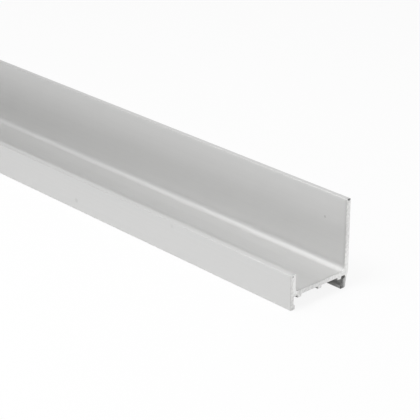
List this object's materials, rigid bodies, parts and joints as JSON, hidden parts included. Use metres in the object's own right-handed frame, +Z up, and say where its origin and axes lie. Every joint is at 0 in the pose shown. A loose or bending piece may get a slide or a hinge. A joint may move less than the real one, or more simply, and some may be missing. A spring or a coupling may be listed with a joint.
{
  "type": "aluminium extrusion profile",
  "caption": "Straight length of h-shaped aluminium extrusion with a low front wall, a channel floor and a tall rear wall on two short legs.",
  "frame": {"origin": "under the middle of the length, halfway between the front and rear faces, on the level that both legs stand on", "axes": "+X along the length, +Y from the low front wall to the tall rear wall, +Z up"},
  "size_m": [1, 0.02, 0.0235],
  "materials": {
    "aluminium": "satin, clear anodised, with sawn ends"
  },
  "bodies": {
    "root": {"profile": "aluminium"}
  },
  "joints": []
}
